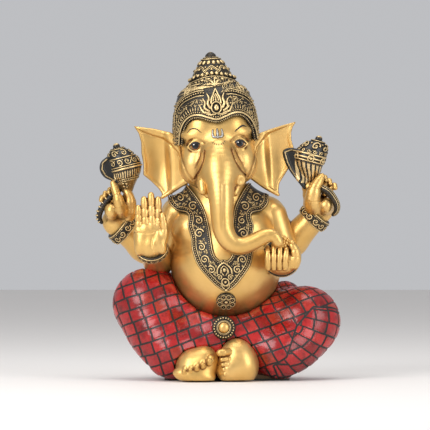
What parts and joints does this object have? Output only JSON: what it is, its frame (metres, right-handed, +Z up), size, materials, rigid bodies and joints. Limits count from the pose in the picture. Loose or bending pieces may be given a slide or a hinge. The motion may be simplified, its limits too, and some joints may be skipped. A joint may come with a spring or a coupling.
{
  "type": "ganesha idol",
  "caption": "Seated four-armed Ganesha figure of pinned and glued resin castings, painted gold, antiqued black and red, standing on a felt-padded closing plate.",
  "frame": {"origin": "centre of the felt pad's underside, the face the figure stands on", "axes": "+Z up, the figure faces -Y, and +X points to the figure's own left"},
  "size_m": [0.2188, 0.1185, 0.2948],
  "materials": {
    "gold_paint": "filled resin under satin warm gold metallic paint, with a dark brown wash in the creases",
    "antique_paint": "filled resin painted black, with dull gold dry-brushed on the high points of the relief",
    "red_paint": "filled resin in semi-gloss crimson tiles between black grooves",
    "plate_board": "plain fibreboard",
    "felt": "thin self-adhesive felt",
    "dowel_steel": "plain round steel rod"
  },
  "bodies": {
    "root": {"torso": "gold_paint", "dhoti": "red_paint", "base_plate": "plate_board", "felt_pad": "felt", "head": "gold_paint", "trunk": "gold_paint", "right_tusk": "gold_paint", "left_tusk": "gold_paint", "right_ear": "gold_paint", "left_ear": "gold_paint", "crown": "antique_paint", "crown_finial": "antique_paint", "crown_crest": "antique_paint", "rear_right_arm": "gold_paint", "rear_left_arm": "gold_paint", "front_right_arm": "gold_paint", "front_left_arm": "gold_paint", "rear_right_hand": "gold_paint", "rear_left_hand": "gold_paint", "front_right_hand": "gold_paint", "front_left_hand": "gold_paint", "rear_right_bracelet": "antique_paint", "rear_left_bracelet": "antique_paint", "front_right_bracelet": "antique_paint", "front_left_bracelet": "antique_paint", "right_conch": "antique_paint", "left_conch": "antique_paint", "right_conch_tail": "antique_paint", "left_conch_tail": "antique_paint", "modak": "gold_paint", "necklace": "antique_paint", "pendant": "antique_paint", "waist_rosette": "antique_paint", "right_foot": "gold_paint", "left_foot": "gold_paint", "neck_dowel": "dowel_steel", "crown_dowel": "dowel_steel", "trunk_dowel": "dowel_steel", "shoulder_dowels": "dowel_steel", "ear_pins": "dowel_steel", "wrist_pins": "dowel_steel", "conch_pins": "dowel_steel", "foot_pins": "dowel_steel"}
  },
  "joints": []
}
